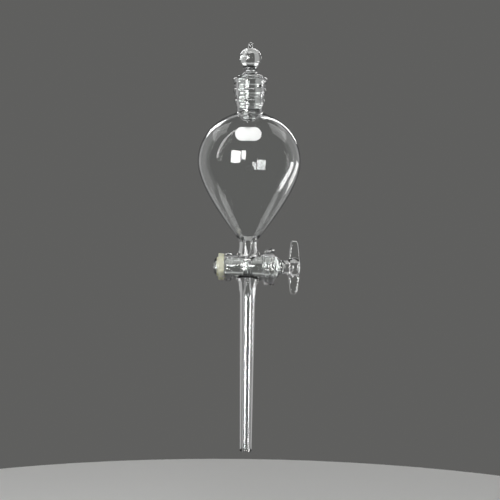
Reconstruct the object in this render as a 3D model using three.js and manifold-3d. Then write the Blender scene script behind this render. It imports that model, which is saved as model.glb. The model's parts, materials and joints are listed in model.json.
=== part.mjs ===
// A pear-shaped (Squibb pattern) separatory funnel of blown borosilicate glass, 200 mL.
//
// It hangs by its lower cone in a support ring. A hollow ground stopper with a ball head closes the
// socket at the top, whose wall has a small vent hole; a groove down the stopper lets air in when it
// is turned to that hole. Below the pear, a stopcock barrel lies across the flow. Its hollow tapered
// plug has a bore tube across it and a T handle, and a rubber ring on its thin end keeps it in. A
// thick-walled stem with a bevelled outlet carries the liquid away.
//
// Frame: millimetres, +Z up the funnel's axis, +X along the plug towards its handle, the white
// writing patch facing -Y. The origin is the centre of the circle on which the support ring carries
// the pear. The vessel is fused in glass from four blanks (socket, pear, barrel with its two arms,
// stem), and each blank is a mesh of its own that ends in a flat seam.

import * as THREE from "three";
import { mergeVertices } from "three/addons/utils/BufferGeometryUtils.js";
import Module from "manifold-3d";

const wasm = await Module();
wasm.setup();

// ---- Driving dimensions, in millimetres and degrees ----

const GROUND_TAPER = 0.05; // radius lost per mm along a ground joint: 1 in 10 on the diameter
const GROUND_GAP = 0.06; // clearance between two ground surfaces
const SEAM_GAP = 0.05; // between two glass blanks that meet at a flat seam
const RING_RADIUS = 30; // of the circle where the support ring touches the pear

// The vessel and its stopper. Heights are from the pear's widest circle, and angles run from -Y towards +X.
const PEAR = { radius: 38.4, crown: 37, wall: 1.6 };
const PEAR_NECK = { radius: 9.5, height: 37.5 };
const PEAR_TIP = { radius: 6.6, drop: 61 };
const SOCKET = { boreRadius: 8.2, wallTop: 12, wallBottom: 10.1, rimHeight: 60.3, rimBead: 2.1 };
const BEAD_HEIGHTS = [44, 52]; // of the two grip beads under the rim
const VENT = { radius: 1.3, height: 55.6, azimuth: 40 };
const STOPPER = { wall: 1.4, endRadius: 5.4, endHeight: 29.8, shoulder: 63.4 };
const STOPPER_NECK = { radius: 4.7, height: 66.4 };
const BALL = { radius: 8.4, height: 75.9, wall: 1.2, foot: -15 }; // its foot, where the neck begins, in degrees
const NIB = { radius: 1.7, height: 88.2 };
const GROOVE = { width: 2.2, depth: 0.8, top: 57.2, azimuth: VENT.azimuth + 180 }; // as shut, off the vent
const PATCH = { width: 19, height: 10, offset: -0.9, above: 20.4, thickness: 0.3, clearance: 0.3 };

// The stopcock. Lengths along the plug are from the funnel's axis, and heights are from the plug's axis.
const COCK_DROP = 79.2; // from the pear's widest circle down to the plug's axis
const BARREL = { left: -17.5, right: 20, boreRadius: 7.4, leftRadius: 9.2, rightRadius: 10.5 };
const ARM = { radius: 8.6, top: 18.2, bottom: -22 };
const PORT_RADIUS = 1.75; // of the way through the arms and the plug
const PLUG = { left: -26, split: 20.3, wall: 1.5, endRadius: 6.3, grooveRadius: 5.9, tubeRadius: 3.3 };
const WAIST = { radius: 4.95, along: 25.4 };
const HANDLE = { halfLength: 20.2, thickness: 5.6, near: 30.3, far: 38.8, endWidth: 4.8, round: 1.5 };
const HUB_RADIUS = 7;
const RING = { left: -22.1, right: -17.9, innerRadius: 6.4, outerRadius: 10, edge: 0.6 };
const RING_LIP = { left: -23.3, radius: 7.1 };
const STEM = { radius: 5.8, tipRadius: 4.5, boreRadius: 2.7, tipBore: 2.3, tipDrop: 139.4, bevel: 30 };

const ROUND = 36; // facets round a large turned piece
const SMALL_ROUND = 24; // facets round a small piece

// ---- Materials ----

const glass = () => new THREE.MeshStandardMaterial({ color: 0xdfe8e6, roughness: 0.05, metalness: 0 });
const enamel = new THREE.MeshStandardMaterial({ color: 0xeeeeec, roughness: 0.35, metalness: 0 });
const rubber = new THREE.MeshStandardMaterial({ color: 0xd2d2b8, roughness: 0.5, metalness: 0 });

// ---- Outlines: x is the radius, y the height along the axis ----

const at = (radius, height) => new THREE.Vector2(radius, height);
const degrees = THREE.MathUtils.degToRad;

// Points on an elliptical arc about (radius, height), from one angle to another, in degrees.
function arc(radius, height, across, along, from, to, steps) {
  const curve = new THREE.EllipseCurve(radius, height, across, along, degrees(from), degrees(to), to < from);
  return curve.getPoints(steps);
}

function bend(start, corner, end, steps) {
  return new THREE.QuadraticBezierCurve(start, corner, end).getPoints(steps);
}

// Points of a curve moved sideways by a distance, to the left of its direction of travel.
function offsetCurve(curve, distance, steps) {
  return curve.getPoints(steps).map((point, i) => {
    const along = curve.getTangent(i / steps);
    return at(point.x - along.y * distance, point.y + along.x * distance);
  });
}

// The outline turned about Z as a solid. An outline that doesn't end on the axis is closed on itself.
function turned(outline, facets) {
  const points = outline.filter((p, i) => i === 0 || p.distanceTo(outline[i - 1]) > 1e-4);
  const closed = points[0].x === 0 ? points : [...points, points[0].clone()];
  return new THREE.LatheGeometry(closed, facets).rotateX(Math.PI / 2);
}

// ---- Joining and cutting ----

// A closed geometry as a manifold-3d solid.
function solid(geometry) {
  const bare = geometry.clone();
  bare.deleteAttribute("normal");
  bare.deleteAttribute("uv");
  const merged = mergeVertices(bare);
  const triVerts = new Uint32Array(merged.index.array);
  const vertProperties = merged.attributes.position.array;
  return new wasm.Manifold(new wasm.Mesh({ numProp: 3, vertProperties, triVerts }));
}

function geometryOf(made) {
  const mesh = made.getMesh();
  const geometry = new THREE.BufferGeometry();
  geometry.setAttribute("position", new THREE.BufferAttribute(mesh.vertProperties, 3));
  geometry.setIndex(new THREE.BufferAttribute(mesh.triVerts, 1));
  geometry.computeVertexNormals();
  return geometry;
}

// A cylinder along Z between two heights, as a solid.
function rod(radius, low, high, facets = SMALL_ROUND) {
  const geometry = new THREE.CylinderGeometry(radius, radius, high - low, facets);
  return solid(geometry.rotateX(Math.PI / 2).translate(0, 0, (low + high) / 2));
}

const alongX = (made) => made.rotate([0, 90, 0]);

function part(name, geometry, material) {
  const mesh = new THREE.Mesh(geometry, material);
  mesh.name = name;
  return mesh;
}

// ---- The pear. Heights here are from its widest circle. ----

const crownCurve = new THREE.EllipseCurve(0, 0, PEAR.radius, PEAR.crown, degrees(71), 0, true);
const bellyCurve = new THREE.CubicBezierCurve(
  at(PEAR.radius, 0),
  at(PEAR.radius, -18),
  at(19, -43.4),
  at(9.2, -56),
);

// Height of the belly's outline where its radius is the given one.
function bellyHeight(radius) {
  let [above, below] = [0, 1];
  for (let i = 0; i < 40; i++) {
    const middle = (above + below) / 2;
    if (bellyCurve.getPoint(middle).x > radius) above = middle;
    else below = middle;
  }
  return bellyCurve.getPoint(above).y;
}

const EQUATOR = -bellyHeight(RING_RADIUS); // height of the widest circle over the support ring
const COCK_HEIGHT = EQUATOR - COCK_DROP;

function pear() {
  const crownTop = crownCurve.getPoint(0);
  const tip = bellyCurve.getPoint(1);
  const outside = [
    ...bend(at(PEAR_NECK.radius, PEAR_NECK.height), at(PEAR_NECK.radius, crownTop.y + 0.8), crownTop, 3),
    ...crownCurve.getPoints(8),
    ...bellyCurve.getPoints(8),
    ...bend(tip, at(PEAR_TIP.radius + 0.1, -59.3), at(PEAR_TIP.radius, -PEAR_TIP.drop), 2),
  ];
  const crownInside = offsetCurve(crownCurve, -PEAR.wall, 8);
  const bellyInside = offsetCurve(bellyCurve, -PEAR.wall, 8);
  const boreTop = at(SOCKET.boreRadius, PEAR_NECK.height);
  const inside = [
    ...bend(boreTop, at(SOCKET.boreRadius, crownInside[0].y + 0.5), crownInside[0], 2),
    ...crownInside,
    ...bellyInside,
    ...bend(bellyInside.at(-1), at(3.2, -59), at(2.6, -PEAR_TIP.drop), 3),
  ];
  return turned([...inside, ...outside.reverse()], ROUND);
}

// ---- The ground socket, with its rim and two grip beads ----

const boreAt = (height) => SOCKET.boreRadius + (height - PEAR_NECK.height) * GROUND_TAPER;

function socket() {
  const low = PEAR_NECK.height + SEAM_GAP;
  const [lowBead, highBead] = BEAD_HEIGHTS;
  const wallRadius = (height) =>
    THREE.MathUtils.mapLinear(height, lowBead - 3, SOCKET.rimHeight, SOCKET.wallBottom, SOCKET.wallTop);
  const bead = (height) => arc(wallRadius(height) - 0.3, height, 1.3, 2, -80, 80, 4);
  const rimCentre = SOCKET.wallTop - 1.2;
  const outline = [
    at(boreAt(low), low),
    at(PEAR_NECK.radius, low),
    at(wallRadius(lowBead - 3), lowBead - 3),
    ...bead(lowBead),
    ...bead(highBead),
    ...arc(rimCentre, SOCKET.rimHeight, SOCKET.rimBead, SOCKET.rimBead, -50, 100, 6),
    at(boreAt(SOCKET.rimHeight + 1.6) + 0.3, SOCKET.rimHeight + 1.6),
    at(boreAt(SOCKET.rimHeight), SOCKET.rimHeight),
  ];
  const vent = rod(VENT.radius, 0, 20, 16).rotate([90, 0, VENT.azimuth]).translate([0, 0, VENT.height]);
  return geometryOf(solid(turned(outline, ROUND)).subtract(vent));
}

// ---- The stopper: a hollow ground cone and the ball head blown on it ----

const coneAt = (height) => boreAt(height) - GROUND_GAP;

function stopperCone() {
  const { wall, endRadius, endHeight, shoulder } = STOPPER;
  const foot = PEAR_NECK.height + 0.9;
  const outline = [
    at(0, endHeight),
    ...arc(endRadius - 2, endHeight + 2, 2, 2, -90, 0, 4),
    at(endRadius, foot - 1.4),
    at(coneAt(foot) - 0.6, foot - 0.6),
    at(coneAt(foot), foot),
    at(coneAt(shoulder - 1.4), shoulder - 1.4),
    at(coneAt(shoulder) - 0.5, shoulder),
    at(coneAt(shoulder) - 0.5 - wall, shoulder),
    at(coneAt(foot) - wall, foot + 1),
    at(endRadius - wall, foot - 0.4),
    at(endRadius - wall, endHeight + 2.4),
    ...arc(endRadius - wall - 1.2, endHeight + 2.4, 1.2, 1.2, 0, -90, 3),
    at(0, endHeight + 1.2),
  ];
  const low = foot - 3;
  const middle = (GROOVE.top + low) / 2;
  const channel = new THREE.BoxGeometry(GROOVE.width, 2, GROOVE.top - low).rotateX(Math.atan(GROUND_TAPER));
  channel.translate(0, GROOVE.depth - 1 - coneAt(middle), middle);
  const groove = solid(channel).rotate([0, 0, GROOVE.azimuth]);
  return geometryOf(solid(turned(outline, ROUND)).subtract(groove));
}

function stopperBall() {
  const { wall, shoulder } = STOPPER;
  const { radius: neck, height: neckHeight } = STOPPER_NECK;
  const low = shoulder + SEAM_GAP;
  const brim = coneAt(shoulder) - 0.5;
  const round = (radius, from, to, steps) => arc(0, BALL.height, radius, radius, from, to, steps);
  const inside = round(BALL.radius - BALL.wall, 78, BALL.foot, 6);
  const outside = round(BALL.radius, BALL.foot, 76, 7);
  const taper = neckHeight + 4.1;
  const outline = [
    at(0, BALL.height + BALL.radius - BALL.wall),
    ...inside,
    ...bend(inside.at(-1), at(neck - wall + 0.3, taper), at(neck - wall, neckHeight), 3),
    at(neck, shoulder + 1.2),
    at(brim - wall, low),
    at(brim, low),
    ...bend(at(brim - 0.3, low + 0.5), at(neck + 0.2, neckHeight - 1.6), at(neck, neckHeight), 4),
    ...bend(at(neck, neckHeight), at(neck + 0.4, taper), outside[0], 3),
    ...outside,
    ...arc(0, NIB.height - NIB.radius, NIB.radius, NIB.radius, 0, 60, 2),
    at(0, NIB.height),
  ];
  return turned(outline, SMALL_ROUND);
}

// ---- The stopcock. Lengths along the plug are from the funnel's axis. ----

const barrelBore = (along) => BARREL.boreRadius + along * GROUND_TAPER;

function barrel() {
  const { left, right, leftRadius, rightRadius } = BARREL;
  const shell = turned(
    [
      at(barrelBore(left), left),
      ...arc(leftRadius - 0.1, left + 2.6, 1.8, 2.6, -90, 80, 4),
      at(leftRadius, left + 6.5),
      at(rightRadius, right - 9),
      ...arc(rightRadius + 0.7, right - 6, 1.7, 2, -90, 50, 3),
      ...arc(rightRadius + 1.2, right - 2.2, 2, 2.2, -50, 90, 4),
      at(barrelBore(right), right),
    ],
    ROUND,
  );
  const bore = turned(
    [
      at(0, left - 1),
      at(barrelBore(left - 1), left - 1),
      at(barrelBore(right + 1), right + 1),
      at(0, right + 1),
    ],
    ROUND,
  );
  const body = alongX(solid(shell)).add(arms().subtract(alongX(solid(bore))));
  return geometryOf(body.subtract(armBores()));
}

// The two arms as one solid rod through the barrel.
function arms() {
  const outline = [
    at(0, ARM.bottom),
    ...bend(at(STEM.radius, ARM.bottom), at(6.4, -15), at(ARM.radius, -11.8), 3),
    ...bend(at(ARM.radius, 10.2), at(6.9, 13), at(PEAR_TIP.radius, ARM.top), 3),
    at(0, ARM.top),
  ];
  return solid(turned(outline, ROUND));
}

// The ways through the arms: narrow at the plug, and opening to the pear and the stem.
function armBores() {
  const outline = [
    at(0, ARM.bottom - 1),
    at(STEM.boreRadius, ARM.bottom - 1),
    at(STEM.boreRadius, -19.6),
    at(PORT_RADIUS, -16),
    at(PORT_RADIUS, 9),
    at(2.6, ARM.top + 1),
    at(0, ARM.top + 1),
  ];
  return solid(turned(outline, SMALL_ROUND));
}

function plugCone() {
  const { left, split, wall, endRadius, grooveRadius, tubeRadius } = PLUG;
  const radiusAt = (along) => barrelBore(along) - GROUND_GAP;
  const low = BARREL.left - 0.3;
  const groove = RING.left - 0.2;
  const outer = turned(
    [
      at(0, left),
      ...bend(at(endRadius - 2.2, left + 0.3), at(endRadius, left + 0.9), at(endRadius, left + 2.6), 3),
      at(endRadius, groove - 0.3),
      at(grooveRadius, groove),
      at(grooveRadius, low),
      at(radiusAt(low), low + 0.5),
      at(radiusAt(split), split),
      at(0, split),
    ],
    ROUND,
  );
  const cavityLeft = left + 1.6;
  const cavityRadius = endRadius - wall - 0.4;
  const cavity = turned(
    [
      at(0, cavityLeft),
      ...bend(at(2.4, cavityLeft + 0.2), at(cavityRadius, cavityLeft + 0.6), at(cavityRadius, -22), 3),
      at(radiusAt(-14) - wall, -14),
      at(radiusAt(split) - wall, split + 1),
      at(0, split + 1),
    ],
    SMALL_ROUND,
  );
  const envelope = solid(outer);
  const tube = rod(tubeRadius, -12, 12).rotate([0, 90, 0]);
  const bore = rod(PORT_RADIUS, -12, 12).rotate([0, 90, 0]);
  const shell = envelope.subtract(solid(cavity));
  return geometryOf(shell.add(tube.intersect(envelope)).subtract(bore));
}

// The T handle's blade seen along Y: two bowed edges between round ends. x is across the plug.
function bladeOutline() {
  const { halfLength, near, far, endWidth } = HANDLE;
  const middle = (near + far) / 2;
  const end = halfLength - endWidth / 2;
  const bow = (far - near) / 2 - endWidth / 2;
  const shape = new THREE.Shape();
  shape.moveTo(-end, middle - endWidth / 2);
  shape.quadraticCurveTo(0, middle - endWidth / 2 - 2 * bow, end, middle - endWidth / 2);
  shape.absarc(end, middle, endWidth / 2, -Math.PI / 2, Math.PI / 2, false);
  shape.quadraticCurveTo(0, middle + endWidth / 2 + 2 * bow, -end, middle + endWidth / 2);
  shape.absarc(-end, middle, endWidth / 2, Math.PI / 2, 1.5 * Math.PI, false);
  return shape;
}

function plugHandle() {
  const { thickness, near, far, round } = HANDLE;
  const { split, wall } = PLUG;
  const hubHeight = (near + far) / 2;
  const hubLength = (far - near) / 2 + 0.2;
  const hub = arc(0, hubHeight, HUB_RADIUS, hubLength, -42, 75, 6);
  const low = split + SEAM_GAP;
  const brim = barrelBore(split) - GROUND_GAP;
  const waistInside = WAIST.radius - wall;
  const neck = turned(
    [
      at(0, near - 2.2),
      ...bend(at(2, near - 2.5), at(waistInside, 27), at(waistInside, WAIST.along), 3),
      at(waistInside + 0.3, 24),
      at(brim - wall, low),
      at(brim, low),
      ...bend(at(brim, low + 0.4), at(brim - 0.4, 23), at(5.5, 23.6), 3),
      ...bend(at(WAIST.radius, WAIST.along), at(WAIST.radius + 0.2, 28.6), hub[0], 3),
      ...hub,
      at(0, hubHeight + hubLength),
    ],
    SMALL_ROUND,
  );
  const blade = new THREE.ExtrudeGeometry(bladeOutline(), {
    depth: thickness - 2 * round,
    bevelThickness: round,
    bevelSize: round,
    bevelOffset: -round,
    bevelSegments: 2,
    curveSegments: 6,
  });
  blade.translate(0, 0, round - thickness / 2).rotateX(Math.PI / 2);
  return geometryOf(solid(neck).add(solid(blade)));
}

function retainingRing() {
  const { left, right, innerRadius, outerRadius, edge } = RING;
  return turned(
    [
      at(innerRadius, RING_LIP.left),
      at(RING_LIP.radius - edge / 2, RING_LIP.left),
      at(RING_LIP.radius, RING_LIP.left + edge / 2),
      at(RING_LIP.radius, left),
      ...arc(outerRadius - edge, left + edge, edge, edge, -90, 0, 2),
      ...arc(outerRadius - edge, right - edge, edge, edge, 0, 90, 2),
      at(innerRadius + edge / 2, right),
      at(innerRadius, right - edge / 2),
    ],
    SMALL_ROUND,
  );
}

// ---- The stem, from the lower arm's seam to the bevelled outlet. Heights are from the plug's axis. ----

function stem() {
  const top = ARM.bottom - SEAM_GAP;
  const low = -STEM.tipDrop - 10;
  const { radius, tipRadius, boreRadius, tipBore } = STEM;
  const outline = [at(tipBore, low), at(tipRadius, low), at(radius, top), at(boreRadius, top)];
  const tube = turned(outline, SMALL_ROUND);
  const waste = new THREE.BoxGeometry(60, 60, 60).translate(0, 0, -30);
  const cut = solid(waste).rotate([-STEM.bevel, 0, 0]).translate([0, 0, -STEM.tipDrop]);
  return geometryOf(solid(tube).subtract(cut));
}

// ---- The enamel patch: a thin skin that follows the crown, cut to a pill shape ----

function writingPatch() {
  const { width, height, offset, above, thickness, clearance } = PATCH;
  const skin = (distance) => offsetCurve(crownCurve, distance, 22);
  const shell = turned([...skin(clearance + thickness), ...skin(clearance).reverse()].reverse(), 2 * ROUND);
  const half = (width - height) / 2;
  const pill = new THREE.Shape();
  pill.absarc(half, 0, height / 2, -Math.PI / 2, Math.PI / 2, false);
  pill.absarc(-half, 0, height / 2, Math.PI / 2, 1.5 * Math.PI, false);
  const cutter = new THREE.ExtrudeGeometry(pill, { depth: 60, bevelEnabled: false, curveSegments: 12 });
  cutter.rotateX(Math.PI / 2).translate(offset, 0, above);
  return geometryOf(solid(shell).intersect(solid(cutter)));
}

// ---- The assembly ----

const funnel = new THREE.Group();

const pearGroup = new THREE.Group();
pearGroup.position.z = EQUATOR;
pearGroup.add(
  part("pear_bulb", pear(), glass()),
  part("neck_socket", socket(), glass()),
  part("stopper_cone", stopperCone(), glass()),
  part("stopper_ball", stopperBall(), glass()),
  part("writing_patch", writingPatch(), enamel),
);

const cockGroup = new THREE.Group();
cockGroup.position.z = COCK_HEIGHT;
cockGroup.add(part("stopcock_barrel", barrel(), glass()), part("drip_stem", stem(), glass()));

const plugGroup = new THREE.Group();
plugGroup.rotation.y = Math.PI / 2;
plugGroup.add(
  part("plug_cone", plugCone(), glass()),
  part("plug_handle", plugHandle(), glass()),
  part("retaining_ring", retainingRing(), rubber),
);
cockGroup.add(plugGroup);

funnel.add(pearGroup, cockGroup);

export default funnel;
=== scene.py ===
"""Looks of a blown glass separatory funnel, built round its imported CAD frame.

The CAD holds each glass blank as a plain faceted node. Here the fused vessel, the stopper and the
stopcock plug are each one seamless wall of clear glass, so that light bends through them as it
does in the real ones. What is round about one axis is turned from an outline. The barrel with its
arms and the plug with its handle are the zero surface of a distance field. Sizes are in
millimetres in the row's frame until a mesh is made.
"""

import json
import math

import bmesh
import bpy
import numpy as np
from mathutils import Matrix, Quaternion, Vector


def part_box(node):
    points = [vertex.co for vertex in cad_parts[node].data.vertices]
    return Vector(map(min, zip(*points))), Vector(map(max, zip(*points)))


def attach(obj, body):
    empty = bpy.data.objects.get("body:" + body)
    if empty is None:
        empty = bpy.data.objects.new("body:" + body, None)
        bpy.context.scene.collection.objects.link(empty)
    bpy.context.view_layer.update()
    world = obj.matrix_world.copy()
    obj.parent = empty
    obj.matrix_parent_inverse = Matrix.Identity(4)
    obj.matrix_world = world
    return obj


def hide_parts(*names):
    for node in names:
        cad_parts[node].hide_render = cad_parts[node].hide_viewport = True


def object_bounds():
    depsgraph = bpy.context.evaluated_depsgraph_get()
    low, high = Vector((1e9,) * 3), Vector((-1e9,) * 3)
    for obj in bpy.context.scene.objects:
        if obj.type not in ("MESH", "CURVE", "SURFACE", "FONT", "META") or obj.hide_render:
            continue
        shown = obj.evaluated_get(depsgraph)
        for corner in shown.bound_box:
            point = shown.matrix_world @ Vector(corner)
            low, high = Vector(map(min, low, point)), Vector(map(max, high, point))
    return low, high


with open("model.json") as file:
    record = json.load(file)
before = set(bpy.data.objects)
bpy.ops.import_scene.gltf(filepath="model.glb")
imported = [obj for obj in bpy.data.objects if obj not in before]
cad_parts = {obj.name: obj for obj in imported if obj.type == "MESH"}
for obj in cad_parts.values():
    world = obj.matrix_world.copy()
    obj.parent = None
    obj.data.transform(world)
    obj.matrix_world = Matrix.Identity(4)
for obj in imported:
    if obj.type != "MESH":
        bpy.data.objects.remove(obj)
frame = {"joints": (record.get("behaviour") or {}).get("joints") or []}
cad_low, cad_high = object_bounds()

MM = 0.001
TINY = 1e-6  # a length that counts as none


def node_box(node):
    """The two corners of a CAD node's box, in millimetres."""
    low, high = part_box(node)
    return low / MM, high / MM


# ---- Places and sizes from the frame ----

pear_low, pear_high = node_box("pear_bulb")
socket_top = node_box("neck_socket")[1].z
barrel_low, barrel_high = node_box("stopcock_barrel")
stem_low, stem_high = node_box("drip_stem")
stopper_foot = node_box("stopper_cone")[0].z
ball_low, ball_high = node_box("stopper_ball")
plug_low, plug_high = node_box("plug_cone")
handle_low, handle_high = node_box("plug_handle")
ring_low, ring_high = node_box("retaining_ring")
patch_low, patch_high = node_box("writing_patch")

joint_place = {joint["name"]: joint.get("pos_m") for joint in frame["joints"]}
COCK = joint_place["cock_turn"][2] / MM  # height of the plug's axis
EQUATOR = pear_high.z - 37.5  # height of the pear's widest circle

# ---- Sizes that the frame doesn't hold ----

PEAR_RADIUS = pear_high.x
PEAR_CROWN = 37  # upper half axis of the pear's ellipse
PEAR_WALL = 1.6
BORE_RADIUS = 8.2  # of the socket where it meets the pear
NECK_RADIUS = 9.5
RIM_BEAD = 2.1  # radius of the socket's rolled rim
GRIP_BEAD = (1.3, 2)  # half sizes, outwards and up, of the socket's grip beads
VENT_RADIUS = 1.3
VENT_HEIGHT = EQUATOR + 55.6
VENT_AZIMUTH = 40  # from the front, towards +X

GROUND_TAPER = 0.05  # radius per length of both ground joints
GROUND_GAP = 0.06  # left for the grease

ARM_TOP_RADIUS = 6.6
STEM_RADIUS = 5.8
STEM_TIP_RADIUS = 4.45
STEM_BORE = 2.7
STEM_TIP_BORE = 2.3
STEM_BEVEL = math.radians(30)
STEM_TIP = COCK - 139.4  # height of the bevel's middle
SEAM = 0.4  # height of the band that joins a turned surface to the barrel's

PORT_RADIUS = 1.75  # of the way through the arms and the plug
PORT_WALL = 1.55  # of the tube across the hollow plug
PLUG_WALL = 1.5
FIELD_PITCH = 0.42  # of the grid that a distance field is sampled on

# ---- Outlines: rows of (radius, height) ----


def bezier(points, steps):
    """Points along a Bezier curve."""
    t = np.linspace(0, 1, steps + 1)[:, None]
    degree = len(points) - 1
    weights = [math.comb(degree, i) * (1 - t) ** (degree - i) * t**i for i in range(degree + 1)]
    return sum(weight * np.array(point, float) for weight, point in zip(weights, points))


def arc(centre, radii, start, stop, steps):
    """Points on an ellipse, from one angle to another, in degrees."""
    angle = np.radians(np.linspace(start, stop, steps + 1))
    return np.array(centre, float) + np.column_stack([np.cos(angle), np.sin(angle)]) * radii


def moved(points, distance):
    """A curve's points moved to the left of its direction of travel."""
    along = np.gradient(points, axis=0)
    along /= np.linalg.norm(along, axis=1)[:, None]
    return points + np.column_stack([-along[:, 1], along[:, 0]]) * distance


def even(points, spacing):
    """Points spread evenly along a polyline."""
    points = np.array(points, float)
    steps = np.linalg.norm(np.diff(points, axis=0), axis=1)
    points = points[np.concatenate([[True], steps > TINY])]
    steps = np.linalg.norm(np.diff(points, axis=0), axis=1)
    along = np.concatenate([[0], np.cumsum(steps)])
    at = np.linspace(0, along[-1], max(2, round(along[-1] / spacing)) + 1)
    return np.column_stack([np.interp(at, along, points[:, k]) for k in (0, 1)])


def fire_polished(stretches, softness, spacing=0.1, closed=False):
    """A polyline, given in stretches, with its corners melted round.

    Its ends stay where they are unless it is closed.
    """
    points = np.vstack(stretches).astype(float)
    line = even(np.vstack([points, points[:1]]) if closed else points, spacing)
    reach = math.ceil(3 * softness / spacing)
    weight = np.exp(-0.5 * (np.arange(-reach, reach + 1) * spacing / softness) ** 2)
    weight /= weight.sum()
    if closed:
        line = line[:-1]
        padded = np.vstack([line[-reach:], line, line[:reach]])
    else:
        before = 2 * line[0] - line[reach:0:-1]
        after = 2 * line[-1] - line[-2 : -reach - 2 : -1]
        padded = np.vstack([before, line, after])
    return np.column_stack([np.convolve(padded[:, k], weight, "valid") for k in (0, 1)])


# ---- Turned surfaces ----


def ring_faces(rows, sides):
    """The quads between rows of corners, each row a closed ring."""
    return [
        [i * sides + j, i * sides + (j + 1) % sides, (i + 1) * sides + (j + 1) % sides, (i + 1) * sides + j]
        for i in range(rows - 1)
        for j in range(sides)
    ]


def turned(outline, sides, radius_at=None):
    """Corners and faces of an outline turned about Z.

    The solid is on the left of its direction of travel. An end on the axis becomes one corner.
    radius_at(angle, radius, height) can press a groove into it.
    """
    angle = np.arange(sides) * 2 * math.pi / sides
    radius = np.repeat(outline[:, :1], sides, axis=1)
    height = np.repeat(outline[:, 1:], sides, axis=1)
    if radius_at:
        radius = radius_at(angle[None, :], radius, height)
    corners = np.stack([radius * np.sin(angle), -radius * np.cos(angle), height], axis=-1)
    faces = []
    for quad in ring_faces(len(outline), sides):
        row = quad[0] // sides
        if outline[row, 0] < TINY:
            quad = [row * sides, *quad[2:]]
        elif outline[row + 1, 0] < TINY:
            quad = [*quad[:2], (row + 1) * sides]
        faces.append(quad)
    return corners.reshape(-1, 3), faces


# ---- Surfaces of a distance field ----


def outline_distance(outline, r, h):
    """The signed distance from points to a closed outline, below 0 inside it."""
    closed = np.vstack([outline, outline[:1]])
    nearest = np.full(r.shape, np.inf)
    inside = np.zeros(r.shape, bool)
    for (r0, h0), (r1, h1) in zip(closed[:-1], closed[1:]):
        along_r, along_h = r1 - r0, h1 - h0
        length = along_r**2 + along_h**2
        if length == 0:
            continue
        t = np.clip(((r - r0) * along_r + (h - h0) * along_h) / length, 0, 1)
        if max(r0, r1) > TINY:  # a stretch along the axis isn't a surface
            nearest = np.minimum(nearest, (r - r0 - t * along_r) ** 2 + (h - h0 - t * along_h) ** 2)
        if h0 != h1:
            between = (h >= min(h0, h1)) & (h < max(h0, h1))
            inside ^= between & (r < r0 + (h - h0) * along_r / along_h)
    return np.where(inside, -1, 1) * np.sqrt(nearest)


def ring_section(outline, pitch=0.12, margin=4):
    """The signed distance to a shape turned about an axis, from its closed outline.

    It is a function of the distance from that axis and the place along it. It is tabled once, then
    read between the table's points.
    """
    low = outline.min(axis=0) - margin
    low[0] = 0
    size = np.ceil((outline.max(axis=0) + margin - low) / pitch).astype(int) + 1
    rows, columns = (low[k] + np.arange(size[k]) * pitch for k in (0, 1))
    table = outline_distance(outline, *np.meshgrid(rows, columns, indexing="ij"))

    def distance(radius, along):
        u = np.clip((radius - low[0]) / pitch, 0, size[0] - 1.001)
        v = np.clip((along - low[1]) / pitch, 0, size[1] - 1.001)
        i, j = u.astype(int), v.astype(int)
        u, v = u - i, v - j
        near = table[i, j] * (1 - v) + table[i, j + 1] * v
        far = table[i + 1, j] * (1 - v) + table[i + 1, j + 1] * v
        return near * (1 - u) + far * u

    return distance


def blended(a, b, reach):
    """The union of two distances, with a fillet."""
    share = np.clip(0.5 + 0.5 * (b - a) / reach, 0, 1)
    return b + (a - b) * share - reach * share * (1 - share)


def slope(field, points, step=0.05):
    """The field's gradient at each point."""
    out = np.empty_like(points)
    for k in range(3):
        shift = np.zeros(3)
        shift[k] = step
        out[:, k] = (field(points + shift) - field(points - shift)) / (2 * step)
    return out


def settle(field, points, rounds=4, longest_step=0.3, least_slope=0.2):
    """Moves points onto the field's zero surface."""
    for _ in range(rounds):
        direction = slope(field, points)
        size = np.maximum((direction**2).sum(axis=1), least_slope)
        step = np.clip(field(points) / size, -longest_step, longest_step)
        points = points - step[:, None] * direction
    return points


def evened(points, faces):
    """Each point moved half way to the middle of the faces round it."""
    middle = points[faces].mean(axis=1)
    total = np.zeros_like(points)
    count = np.zeros(len(points))
    for k in range(4):
        np.add.at(total, faces[:, k], middle)
        np.add.at(count, faces[:, k], 1)
    return (points + total / np.maximum(count, 1)[:, None]) / 2


def net_faces(inside, number):
    """One quad across each grid edge that the surface crosses, joining the four cells round it."""
    faces = []
    for axis in range(3):
        order = (axis, (axis + 1) % 3, (axis + 2) % 3)
        solid = inside.transpose(order)[:, 1:-1, 1:-1]
        cell = number.transpose(order)
        rows, columns = cell.shape[1] - 1, cell.shape[2] - 1
        round_edge = ((0, 0), (1, 0), (1, 1), (0, 1))
        quads = np.stack([cell[:, i : rows + i, j : columns + j] for i, j in round_edge], axis=-1)
        enters = solid[1:] & ~solid[:-1]
        leaves = solid[:-1] & ~solid[1:]
        faces += [quads[leaves], quads[enters][:, ::-1]]
    return np.vstack(faces)


def zero_surface(field, low, high):
    """Corners and faces of the field's zero surface inside a box."""
    axes = [np.arange(a, b + FIELD_PITCH, FIELD_PITCH) for a, b in zip(low, high)]
    grid = np.stack(np.meshgrid(*axes, indexing="ij"), axis=-1)
    inside = field(grid.reshape(-1, 3)).reshape(grid.shape[:3]) < 0
    ends = (slice(None, -1), slice(1, None))
    count = sum(inside[a, b, c].astype(int) for a in ends for b in ends for c in ends)
    crossed = (count > 0) & (count < 8)
    number = np.full(crossed.shape, -1)
    number[crossed] = np.arange(crossed.sum())
    faces = net_faces(inside, number)
    points = settle(field, grid[:-1, :-1, :-1][crossed] + FIELD_PITCH / 2)
    for _ in range(3):
        points = settle(field, evened(points, faces))
    return points, faces.tolist()


# ---- Meshes ----


def add(bm, corners, faces):
    verts = [bm.verts.new(corner) for corner in corners]
    for face in faces:
        bm.faces.new([verts[i] for i in face])


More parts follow.
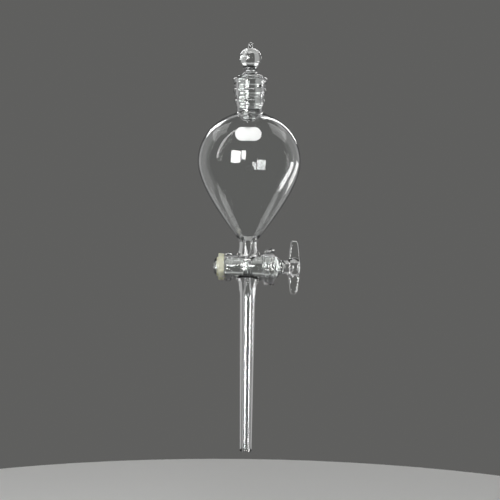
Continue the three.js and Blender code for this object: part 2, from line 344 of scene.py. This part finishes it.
def drop_loose(bm):
    loose = [v for v in bm.verts if not v.link_faces]
    bmesh.ops.delete(bm, geom=loose, context="VERTS")


def joined(*surfaces):
    """One bmesh, in millimetres, of several (corners, faces)."""
    bm = bmesh.new()
    for corners, faces in surfaces:
        add(bm, corners, faces)
    drop_loose(bm)
    return bm


def merge(bm, other):
    """Moves another bmesh's geometry into the first."""
    mesh = bpy.data.meshes.new("merged")
    other.to_mesh(mesh)
    other.free()
    bm.from_mesh(mesh)
    bpy.data.meshes.remove(mesh)


def cut_off(bm, point, normal):
    """Removes what lies beyond a plane, on the side its normal points to."""
    geometry = [*bm.verts, *bm.edges, *bm.faces]
    bmesh.ops.bisect_plane(bm, geom=geometry, dist=1e-5, plane_co=point, plane_no=normal, clear_outer=True)


def rims(bm, low, high):
    """The open edges between two heights."""
    return [e for e in bm.edges if e.is_boundary and all(low < v.co.z < high for v in e.verts)]


def bridge(bm, low, high, radius):
    """Joins the open rims between two heights: those outside a radius, and those inside it."""
    for outer in (True, False):
        edges = [e for e in rims(bm, low, high) if (e.verts[0].co.xy.length > radius) == outer]
        bmesh.ops.bridge_loops(bm, edges=edges)


def placed(name, bm):
    """A new object in the scene, from a bmesh that stays as it is."""
    mesh = bpy.data.meshes.new(name)
    bm.to_mesh(mesh)
    obj = bpy.data.objects.new(name, mesh)
    bpy.context.scene.collection.objects.link(obj)
    return obj


def piece(name, bm, material, body, nodes):
    """The finished object: smooth but for its real edges, riding on its body in place of CAD nodes."""
    bmesh.ops.recalc_face_normals(bm, faces=bm.faces)
    bmesh.ops.scale(bm, vec=(MM, MM, MM), verts=bm.verts)
    obj = placed(name, bm)
    bm.free()
    obj.data.shade_smooth()
    obj.data.set_sharp_from_angle(angle=math.radians(35))
    obj.data.materials.append(material)
    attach(obj, body)
    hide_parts(*nodes)


# ---- Materials ----


def shader(name, color, roughness):
    """A new material and its shader, with the plain values set on the shader itself."""
    material = bpy.data.materials.new(name)
    material.use_nodes = True
    nodes = material.node_tree.nodes
    principled = nodes["Principled BSDF"]
    principled.inputs["Base Color"].default_value = (*color, 1)
    principled.inputs["Roughness"].default_value = roughness
    return material, principled


def bumped(material, principled, scale, detail, height):
    """Fine waves in the surface, from a noise texture. Their height is in millimetres."""
    nodes, links = material.node_tree.nodes, material.node_tree.links
    place = nodes.new("ShaderNodeTexCoord")
    texture = nodes.new("ShaderNodeTexNoise")
    texture.inputs["Scale"].default_value = scale
    texture.inputs["Detail"].default_value = detail
    bump = nodes.new("ShaderNodeBump")
    bump.inputs["Strength"].default_value = 1
    bump.inputs["Distance"].default_value = height * MM
    links.new(place.outputs["Object"], texture.inputs["Vector"])
    links.new(texture.outputs["Fac"], bump.inputs["Height"])
    links.new(bump.outputs["Normal"], principled.inputs["Normal"])


def clear_glass(name, waviness):
    """Blown borosilicate glass: clear, with the slight waves that blowing leaves."""
    material, principled = shader(name, (0.985, 0.995, 0.99), 0.0)
    principled.inputs["Transmission Weight"].default_value = 1.0
    principled.inputs["IOR"].default_value = 1.474
    bumped(material, principled, 55, 2, waviness)
    return material


def cream_rubber():
    material, principled = shader("cream_rubber", (0.6, 0.6, 0.45), 0.42)
    principled.inputs["Subsurface Weight"].default_value = 0.25
    principled.inputs["Subsurface Radius"].default_value = (0.003, 0.0025, 0.001)
    bumped(material, principled, 900, 4, 0.05)
    return material


def white_enamel():
    material, principled = shader("white_enamel", (0.8, 0.81, 0.8), 0.5)
    bumped(material, principled, 1500, 3, 0.02)
    return material


# ---- The vessel ----

crown = arc((0, EQUATOR), (PEAR_RADIUS, PEAR_CROWN), 71, 0, 40)
belly = bezier([(PEAR_RADIUS, 0), (PEAR_RADIUS, -18), (19, -43.4), (9.2, -56)], 60) + (0, EQUATOR)


def grip_bead(height, radius):
    """One of the beads round the socket's outside, at a height over the pear's equator."""
    return arc((radius, height + EQUATOR), GRIP_BEAD, 80, -80, 10)


def vessel_top():
    """The outline from inside the pear's tip, up the inside, over the rim and down the outside."""
    rim = socket_top - RIM_BEAD
    rim_bore = BORE_RADIUS + GROUND_TAPER * (rim - pear_high.z)
    tip = pear_low.z + SEAM
    inside_belly = moved(belly, -PEAR_WALL)[::-1]
    inside_crown = moved(crown, -PEAR_WALL)[::-1]
    shoulder = inside_crown[-1]
    stretches = [
        bezier([(2.6, tip), (3.2, pear_low.z + 2), inside_belly[0]], 8),
        inside_belly,
        inside_crown[:-1],
        bezier([shoulder, (BORE_RADIUS, shoulder[1] + 0.5), (BORE_RADIUS, pear_high.z)], 8),
        [(rim_bore, rim), (10, rim + 1.7)],
        arc((10.8, rim), (RIM_BEAD, RIM_BEAD), 100, -50, 16),
        grip_bead(52, 10.9),
        grip_bead(44, 10.1),
        [(10.0, EQUATOR + 41)],
        bezier([(NECK_RADIUS, pear_high.z), (NECK_RADIUS, crown[0][1] + 0.8), crown[0]], 8),
        crown,
        belly,
        bezier([belly[-1], (ARM_TOP_RADIUS + 0.1, pear_low.z + 1.7), (ARM_TOP_RADIUS, tip)], 8),
    ]
    return even(fire_polished(stretches, 0.35), 0.6)


def barrel_bore(along):
    """The radius of the barrel's ground bore, at a place along it."""
    return 7.4 + GROUND_TAPER * along


def disc(left, right, radius, depth):
    """The section of a ring round the barrel with a rounded rim, from its place along the barrel."""
    rim = arc((radius - depth, (left + right) / 2), (depth, (right - left) / 2), -90, 90, 16)
    return ring_section(np.vstack([[(6, left)], rim, [(6, right)]]))


def barrel_shell(left, right):
    """The barrel's body as a solid cone. Its bore is cut out afterwards."""
    outline = [(5, left), (9.2, left), (10.4, right), (5, right)]
    return ring_section(fire_polished([outline], 0.4, closed=True))


def arms_section():
    """Both arms, as one solid rod that runs on past the barrel's box."""
    low, high = barrel_low.z, barrel_high.z
    stretches = [
        [(0, low - 3), (STEM_RADIUS, low - 3), (STEM_RADIUS, low)],
        bezier([(STEM_RADIUS, low), (6.1, COCK - 16), (7.6, COCK - 12), (8, COCK)], 12),
        bezier([(8, COCK), (7.8, COCK + 10), (ARM_TOP_RADIUS, COCK + 13), (ARM_TOP_RADIUS, high)], 12),
        [(ARM_TOP_RADIUS, high + 3), (0, high + 3)],
    ]
    return ring_section(fire_polished(stretches, 0.3, closed=True))


def port_section():
    """The way through both arms, narrowest at the plug."""
    low, high = barrel_low.z - 3, barrel_high.z + 3
    lower = [(0, low), (STEM_BORE, low), (STEM_BORE, COCK - 19.6), (PORT_RADIUS, COCK - 15)]
    upper = [(PORT_RADIUS, COCK + 8), (2.6, barrel_high.z), (2.8, high), (0, high)]
    return ring_section(np.array(lower + upper, float))


def barrel_field():
    """Distance to the barrel with its two arms."""
    left, right = barrel_low.x, barrel_high.x
    shell = barrel_shell(left + 0.4, right - 0.5)
    arms = arms_section()
    port = port_section()
    beads = [
        disc(left, left + 5.4, 11, 2.4),
        disc(right - 7.9, right - 4.2, 13.1, 1.5),
        disc(right - 4.2, right, 13.9, 1.7),
    ]

    def field(p):
        x, y, z = p.T
        across = np.hypot(y, z - COCK)
        radius = np.hypot(x, y)
        body = shell(across, x)
        for bead in beads:
            body = blended(body, bead(across, x), 0.9)
        body = blended(body, arms(radius, z), 3.2)
        body = np.maximum(body, barrel_bore(x) - across)
        body = np.maximum(body, np.maximum(left - x, x - right))
        return np.maximum(body, -port(radius, z))

    return field


def barrel_mesh():
    """The barrel, with its arms cut off level where they meet the pear and the stem."""
    margin = (1, 1.3, 1)
    low, high = np.subtract(barrel_low, margin), np.add(barrel_high, margin)
    bm = joined(zero_surface(barrel_field(), low, high))
    cut_off(bm, (0, 0, barrel_high.z), (0, 0, 1))
    cut_off(bm, (0, 0, barrel_low.z), (0, 0, -1))
    return bm


def stem_mesh():
    """The stem's outside and its bore, joined by the bevelled face of the outlet."""
    top = stem_high.z - SEAM
    end = stem_low.z - 8  # past the bevel, which cuts the rest off
    sides = 72
    upwards = np.linspace(0, 1, 25)[:, None]
    outside = np.array((STEM_TIP_RADIUS, end)) + upwards * (STEM_RADIUS - STEM_TIP_RADIUS, top - end)
    bore = np.array((STEM_BORE, top)) + upwards * (STEM_TIP_BORE - STEM_BORE, end - top)
    bm = joined(turned(outside, sides), turned(bore, sides))
    cut_off(bm, (0, 0, STEM_TIP), (0, -math.sin(STEM_BEVEL), -math.cos(STEM_BEVEL)))
    bmesh.ops.bridge_loops(bm, edges=rims(bm, stem_low.z - 1, STEM_TIP + 10))
    return bm


def drill_vent(bm):
    """Cuts the vent through the socket's wall. The Boolean needs every face to look outwards."""
    bmesh.ops.recalc_face_normals(bm, faces=bm.faces)
    rod = bmesh.new()
    bmesh.ops.create_cone(rod, cap_ends=True, radius1=VENT_RADIUS, radius2=VENT_RADIUS, depth=8, segments=32)
    drill, glass = placed("drill", rod), placed("undrilled", bm)
    rod.free()
    drill.location = around(VENT_AZIMUTH, 0, 10) + Vector((0, 0, VENT_HEIGHT))
    drill.rotation_mode = "QUATERNION"
    drill.rotation_quaternion = around(VENT_AZIMUTH, 0, 1).to_track_quat("Z", "Y")
    cut = glass.modifiers.new("vent", "BOOLEAN")
    cut.object = drill
    cut.solver = "EXACT"
    bpy.context.view_layer.update()
    result = glass.evaluated_get(bpy.context.evaluated_depsgraph_get())
    bm.clear()
    bm.from_mesh(result.data)
    for obj in (drill, glass):
        mesh = obj.data
        bpy.data.objects.remove(obj)
        bpy.data.meshes.remove(mesh)


def make_vessel():
    bm = barrel_mesh()
    merge(bm, stem_mesh())
    add(bm, *turned(vessel_top(), 144))
    drop_loose(bm)
    slack = 0.1
    bridge(bm, barrel_high.z - slack, barrel_high.z + SEAM + slack, (ARM_TOP_RADIUS + STEM_BORE) / 2)
    bridge(bm, barrel_low.z - SEAM - slack, barrel_low.z + slack, (STEM_RADIUS + STEM_BORE) / 2)
    drill_vent(bm)
    nodes = ("pear_bulb", "neck_socket", "stopcock_barrel", "drip_stem")
    piece("vessel", bm, clear_glass("vessel_glass", 0.004), "vessel", nodes)


# ---- The stopper ----


def cone_radius(height):
    """The radius of the stopper's ground cone."""
    return BORE_RADIUS + GROUND_TAPER * (height - pear_high.z) - GROUND_GAP


def smooth_step(distance, softness):
    """1 well below a distance of 0, and 0 well above it."""
    return 1 / (1 + np.exp(distance / softness))


def make_stopper():
    low = stopper_foot
    foot = pear_high.z + 0.9  # where the ground cone starts
    shoulder = ball_low.z
    neck = shoulder + 3
    ball = EQUATOR + 75.9
    ground = cone_radius(foot)
    top = cone_radius(shoulder)
    outside = [
        [(0, low)],
        arc((3.2, low + 2.2), (2.2, 2.2), -90, 0, 8),
        [(5.4, foot - 1.6), (ground - 0.4, foot - 0.4), (ground, foot + 0.4)],
        [(cone_radius(shoulder - 1), shoulder - 1)],
        bezier([(top - 0.3, shoulder), (8, shoulder + 1.2), (4.9, neck - 1.4), (4.7, neck)], 10),
        bezier([(4.7, neck), (5.1, neck + 4.1), (8.11, ball - 2.2)], 8),
        arc((0, ball), (8.4, 8.4), -15, 76, 20),
        arc((0, ball_high.z - 1.7), (1.7, 1.7), 0, 90, 8),
    ]
    inside = [
        arc((0, ball), (7.2, 7.2), 90, -15, 20),
        bezier([(6.95, ball - 1.86), (3.9, neck + 4.1), (3.4, neck)], 8),
        bezier([(3.4, neck), (3.6, neck - 1.4), (6.6, shoulder - 0.4), (top - 1.8, shoulder - 2)], 8),
        [(ground - 1.4, foot + 1), (4, foot - 0.4), (4, low + 2.6)],
        arc((2.6, low + 2.6), (1.4, 1.4), 0, -90, 6),
        [(0, low + 1.2)],
    ]
    groove_top = EQUATOR + 57.2
    groove_angle = math.radians(VENT_AZIMUTH + 180)  # turned away from the vent, as when closed

    def grooved(angle, radius, height):
        away = (angle - groove_angle + math.pi) % (2 * math.pi) - math.pi
        side = smooth_step(np.abs(away * radius) - 1.1, 0.12)
        end = smooth_step(height - groove_top, 0.2)
        start = smooth_step(foot - 2.5 - height, 0.3)
        return radius - 0.8 * side * end * start * (radius > 5.8)

    outer = turned(even(fire_polished(outside, 0.3), 0.45), 144, grooved)
    inner = turned(even(fire_polished(inside, 0.3), 0.5), 96)
    nodes = ("stopper_cone", "stopper_ball")
    glass = clear_glass("stopper_glass", 0.012)
    piece("stopper", joined(outer, inner), glass, "stopper", nodes)


# ---- The stopcock plug ----


def plug_radius(along):
    """The radius of the plug's ground cone, at a place along the barrel."""
    return barrel_bore(along) - GROUND_GAP


def blade_distance(across, along, depth):
    """Distance to the handle's blade: a bar bowed on both edges, with round ends."""
    end_radius = 2.4
    edge_radius = 1.4
    left = handle_low.x + 9.95
    right = handle_high.x - 0.2
    middle = (left + right) / 2
    reach = (handle_high.z - handle_low.z) / 2
    share = np.clip(np.abs(across) / reach, 0, 1)  # 0 at the hub, 1 at the ends
    half_width = 4.25 - 1.85 * share**1.7
    half_depth = 2.8 - 0.7 * share**2
    beyond = np.maximum(np.abs(across) - (reach - end_radius), 0)
    side = np.hypot(np.maximum(np.abs(along - middle) - half_width + end_radius, 0), beyond) - end_radius
    front = np.abs(depth) - half_depth
    u, v = side + edge_radius, front + edge_radius
    return np.hypot(np.maximum(u, 0), np.maximum(v, 0)) + np.minimum(np.maximum(u, v), 0) - edge_radius


def plug_outside():
    """The plug's turned outside: domed end, groove for the ring, ground cone, waist and hub."""
    left = plug_low.x
    stretches = [
        bezier([(0, left), (4.2, left + 0.2), (6.3, left + 0.8), (6.3, left + 2.6)], 12),
        [(6.3, -22.6), (5.9, -22.3), (5.9, -17.8)],
        [(plug_radius(-17.3), -17.3), (plug_radius(20.3), 20.3)],
        bezier([(plug_radius(20.3), 20.6), (8.1, 23), (5.3, 23.4), (4.95, 25.4)], 10),
        bezier([(4.95, 25.4), (5.0, 28.6), (5.3, 31.6)], 8),
        arc((0, 34.55), (7, 4.45), -42, 90, 16),
    ]
    return ring_section(fire_polished(stretches, 0.25))


def plug_cavity():
    """The hollow inside the plug, which ends in the waist."""
    left = plug_low.x
    wide = plug_radius(20) - PLUG_WALL
    stretches = [
        bezier([(0, left + 1.5), (3, left + 1.6), (4.5, left + 2), (4.5, left + 4)], 10),
        [(4.6, -18.5), (plug_radius(-14) - PLUG_WALL, -14), (plug_radius(19) - PLUG_WALL, 19)],
        bezier([(wide, 20), (6.4, 22.6), (3.8, 23.4), (3.4, 25.4)], 10),
        bezier([(3.4, 25.4), (3.4, 27.4), (2, 28.4), (0, 28.4)], 8),
    ]
    return ring_section(fire_polished(stretches, 0.2))


def plug_field():
    """Distance to the hollow plug with its handle, the bore tube across it and the bore."""
    outside = plug_outside()
    cavity = plug_cavity()

    def field(p):
        x, y, z = p.T
        z = z - COCK
        across = np.hypot(y, z)
        from_port = np.hypot(x, y)
        body = blended(outside(across, x), blade_distance(z, x, y), 1.6)
        hollow = np.maximum(cavity(across, x), PORT_RADIUS + PORT_WALL - from_port)
        body = np.maximum(body, -hollow)
        body = np.maximum(body, x - handle_high.x)
        return np.maximum(body, PORT_RADIUS - from_port)

    return field


def make_plug():
    low = (plug_low.x - 1, plug_low.y - 1.3, handle_low.z - 1.45)
    high = (handle_high.x + 1, plug_high.y + 1.3, handle_high.z + 1.3)
    bm = joined(zero_surface(plug_field(), low, high))
    glass = clear_glass("plug_glass", 0.012)
    piece("stopcock_plug", bm, glass, "plug", ("plug_cone", "plug_handle"))


# ---- The retaining ring ----


def lying_along_x(corners, height):
    """Turned corners laid over from Z onto X."""
    x, y, z = corners.T
    return np.column_stack([z, y, height - x])


def make_ring():
    """A stepped ring, thin where it grips the groove and thick against the barrel."""
    left, step, right = ring_low.x, ring_low.x + 1.2, ring_high.x
    inner, lip, outer = 6.4, 7.1, 10
    outline = [(inner, left), (lip, left), (lip, step), (outer, step), (outer, right), (inner, right)]
    polished = even(fire_polished([outline], 0.28, closed=True), 0.25)
    corners, faces = turned(np.vstack([polished, polished[:1]]), 96)
    bm = joined((lying_along_x(corners, COCK), faces))
    bmesh.ops.remove_doubles(bm, verts=bm.verts, dist=1e-4)
    piece("retaining_ring_rubber", bm, cream_rubber(), "ring", ("retaining_ring",))


# ---- The writing patch ----


def make_patch():
    """A thin pill-shaped skin of enamel on the front of the pear's crown."""
    skin, edge_lift, back = 0.16, 0.1, 0.03  # heights over the glass
    middle = (patch_low + patch_high) / 2
    half = (patch_high.x - patch_low.x) / 2
    round_end = (patch_high.z - patch_low.z) / 2
    profile = crown[::-1]
    angle = np.linspace(0, 2 * math.pi, 96, endpoint=False)
    edge = np.column_stack([round_end * np.cos(angle), round_end * np.sin(angle)])
    edge[:, 0] += np.sign(np.cos(angle)) * (half - round_end)
    layers = [(share, skin) for share in np.linspace(0.06, 0.97, 14)]
    layers += [(1.0, edge_lift), (1.0, back)]
    layers += [(share, back) for share in np.linspace(0.97, 0.06, 8)]
    corners = []
    for share, lift in layers:
        x = middle.x + edge[:, 0] * share
        z = middle.z + edge[:, 1] * share
        radius = np.interp(z, profile[:, 1], profile[:, 0]) + lift
        corners.append(np.column_stack([x, -np.sqrt(radius**2 - x**2), z]))
    bm = joined((np.vstack(corners), ring_faces(len(layers), len(angle))))
    bmesh.ops.holes_fill(bm, edges=[e for e in bm.edges if e.is_boundary], sides=0)
    piece("enamel_patch", bm, white_enamel(), "vessel", ("writing_patch",))


# ---- Floor, light and camera: lengths in metres, angles in degrees ----

BACKDROP = (0.115, 0.115, 0.112, 1)
MIRRORED = (0.085, 0.085, 0.085, 1)  # what the glass mirrors where no light stands
FLOOR_RADIUS = 0.6
FLOOR_DROP = 0.135  # the funnel hangs in its ring clamp, clear of the floor


def around(azimuth, elevation, distance):
    """A place round the object. Azimuth 0 is in front, at -Y, and turns towards +X."""
    a, e = math.radians(azimuth), math.radians(elevation)
    return Vector((math.sin(a) * math.cos(e), -math.cos(a) * math.cos(e), math.sin(e))) * distance


def aim(obj, target, roll=0):
    """Turns an object's -Z axis to a target, then rolls it about that axis."""
    obj.rotation_mode = "QUATERNION"
    towards = (obj.location - target).to_track_quat("Z", "Y")
    obj.rotation_quaternion = towards @ Quaternion((0, 0, 1), math.radians(roll))


def show_in_reflections(tree, output, seen, mirrored):
    """Shows one shader directly and through glass, and another in reflections."""
    path = tree.nodes.new("ShaderNodeLightPath")
    mix = tree.nodes.new("ShaderNodeMixShader")
    tree.links.new(path.outputs["Glossy Depth"], mix.inputs["Fac"])
    tree.links.new(seen.outputs[0], mix.inputs[1])
    tree.links.new(mirrored.outputs[0], mix.inputs[2])
    tree.links.new(mix.outputs[0], tree.nodes[output].inputs["Surface"])


def make_floor():
    material, principled = shader("floor_paper", (0.72, 0.72, 0.71), 0.8)
    bumped(material, principled, 300, 2, 0.2)
    # In reflections the pale floor is replaced by a dim glow of MIRRORED grey: a painted reflection of dark
    # surroundings, in place of the paper.
    mirrored = material.node_tree.nodes.new("ShaderNodeEmission")
    mirrored.inputs["Color"].default_value = MIRRORED
    show_in_reflections(material.node_tree, "Material Output", principled, mirrored)
    bm = bmesh.new()
    bmesh.ops.create_circle(bm, cap_ends=True, radius=FLOOR_RADIUS, segments=96)
    floor = placed("floor", bm)
    bm.free()
    floor.data.materials.append(material)
    floor.location.z = cad_low.z - FLOOR_DROP


def make_world():
    world = bpy.data.worlds.new("studio")
    world.use_nodes = True
    seen = world.node_tree.nodes["Background"]
    seen.inputs["Color"].default_value = BACKDROP
    mirrored = world.node_tree.nodes.new("ShaderNodeBackground")
    mirrored.inputs["Color"].default_value = MIRRORED
    show_in_reflections(world.node_tree, "World Output", seen, mirrored)
    bpy.context.scene.world = world


def softbox(name, azimuth, elevation, width, height, radiance, distance=1.3, roll=0, behind=False):
    """A soft light round the pear that only the glass shows.

    One that stands behind the glass is seen in reflections only, not through it.
    """
    light = bpy.data.lights.new(name, "AREA")
    light.shape = "RECTANGLE"
    light.size = width
    light.size_y = height
    light.energy = radiance * width * height * math.pi
    obj = bpy.data.objects.new(name, light)
    middle = Vector((0, 0, EQUATOR * MM))
    obj.location = middle + around(azimuth, elevation, distance)
    aim(obj, middle, roll)
    obj.visible_camera = False
    obj.visible_diffuse = False
    obj.visible_transmission = not behind
    bpy.context.scene.collection.objects.link(obj)
    return obj


def stem_light(azimuth):
    """A narrow beam along the stem, which passes below the pear."""
    obj = softbox(f"stem_light_{azimuth}", azimuth, 0, 0.066, 0.2, 0.4, behind=True)
    middle = Vector((0, 0, -0.13))
    obj.location = middle + around(azimuth, 0, 0.4) + Vector((0, 0, -0.06))
    obj.data.spread = math.radians(16)
    aim(obj, middle)


def diffuse_only(light):
    light.visible_diffuse = True
    light.visible_glossy = False
    light.visible_transmission = False


def make_lights():
    """The numbers are each light's azimuth, elevation, width, height and radiance."""
    softbox("window_left", -30, 11, 0.5, 0.64, 20)
    softbox("window_right", -12.5, 16, 0.2, 0.46, 20)
    softbox("streak_near", 101, -18.5, 0.06, 0.2, 12, distance=0.3, roll=-20, behind=True)
    softbox("streak_far", 127, -13.4, 0.07, 0.14, 5, distance=0.3, roll=-20, behind=True)
    softbox("left_arc", -75, 40, 0.14, 1.8, 7, behind=True)
    softbox("high_window", 2, 68, 1.0, 0.5, 8, behind=True)
    softbox("rim_right", 162, 28, 0.14, 1.0, 7, behind=True)
    softbox("rim_left", -152, 26, 0.24, 0.45, 7, behind=True)
    for side in (-1, 1):
        softbox("side", side * 132, -5, 1.0, 2.4, 0.3)
    for side in (-1, 1):
        softbox("high", side * 122, 42, 0.7, 0.6, 1.7).visible_glossy = False
    softbox("low_back", 180, -40, 1.6, 0.3, 0.4)
    softbox("high_back", 180, 35, 1.6, 0.3, 0.4)
    for azimuth in (-32, -22, -12, 38, 48):
        stem_light(azimuth)
    diffuse_only(softbox("fill", -15, 42, 0.8, 0.8, 6.5))
    diffuse_only(softbox("ceiling", 0, 80, 0.8, 0.8, 3))


def make_camera():
    camera = bpy.data.cameras.new("camera")
    camera.lens = 110
    camera.sensor_width = 36
    obj = bpy.data.objects.new("camera", camera)
    target = Vector((1.45, 0, -40.9)) * MM
    obj.location = target + around(azimuth=0, elevation=4.5, distance=1.146)
    aim(obj, target, roll=0.7)
    bpy.context.scene.collection.objects.link(obj)
    bpy.context.scene.camera = obj


make_vessel()
make_stopper()
make_plug()
make_ring()
make_patch()
make_floor()
make_lights()
make_world()
make_camera()

scene = bpy.context.scene
scene.view_settings.view_transform = "Standard"
scene.cycles.max_bounces = 64  # light takes many turns inside thick glass
scene.cycles.transmission_bounces = 64
scene.cycles.transparent_max_bounces = 32
